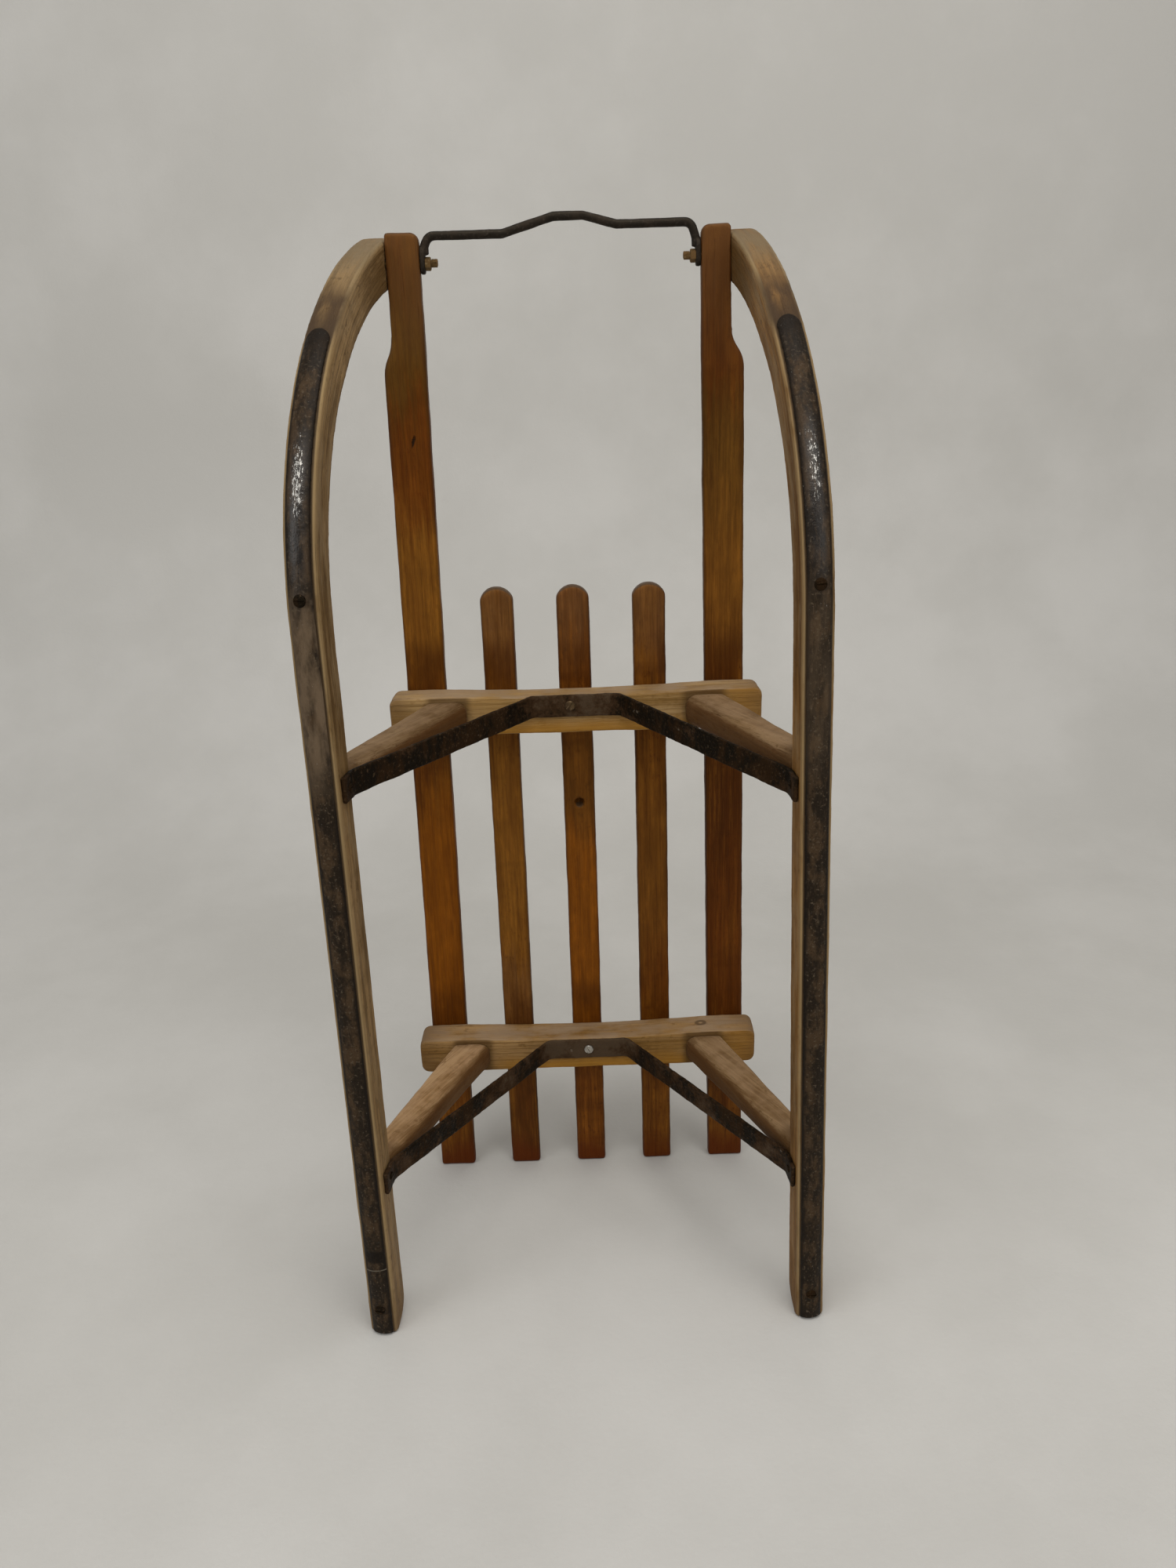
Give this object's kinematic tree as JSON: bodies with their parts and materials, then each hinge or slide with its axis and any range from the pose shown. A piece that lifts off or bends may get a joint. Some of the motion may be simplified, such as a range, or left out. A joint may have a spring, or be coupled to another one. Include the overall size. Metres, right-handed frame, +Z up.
{
  "type": "wooden sled",
  "caption": "Wooden slatted sled with upturned bent runners shod in iron, splayed legs, arched iron braces and an iron pull bar across its nose, standing on its tail.",
  "frame": {"origin": "on the ground under the middle of the sled as it stands on its tail: the middle of its box, at the lowest point", "axes": "+Z up along the sled's length from tail to nose, +X across the sled to the viewer's right, +Y from the running surface to the seat, away from the viewer"},
  "size_m": [0.3926, 0.2566, 0.898],
  "materials": {
    "slat_wood": "old reddish-brown varnish over straight grain, worn",
    "crossbar_wood": "pale natural wood with ochre stains, worn",
    "leg_wood": "weathered grey-brown wood",
    "runner_wood": "weathered grey-brown bent wood, pale at the edges",
    "shoe_iron": "dark rusted iron, worn bright at the bend",
    "brace_iron": "black pitted iron with rust",
    "bar_iron": "dark brown-black forged iron",
    "bolt_iron": "rusty brown iron"
  },
  "bodies": {
    "root": {"runner_left": "runner_wood", "runner_right": "runner_wood", "shoe_left": "shoe_iron", "shoe_right": "shoe_iron", "leg_front_left": "leg_wood", "leg_front_right": "leg_wood", "leg_rear_left": "leg_wood", "leg_rear_right": "leg_wood", "crossbar_front": "crossbar_wood", "crossbar_rear": "crossbar_wood", "brace_front": "brace_iron", "brace_rear": "brace_iron", "slat_outer_left": "slat_wood", "slat_outer_right": "slat_wood", "slat_inner_left": "slat_wood", "slat_inner_right": "slat_wood", "slat_middle": "slat_wood", "pull_bar": "bar_iron", "tip_bolt_left": "bolt_iron", "tip_bolt_right": "bolt_iron"}
  },
  "joints": []
}
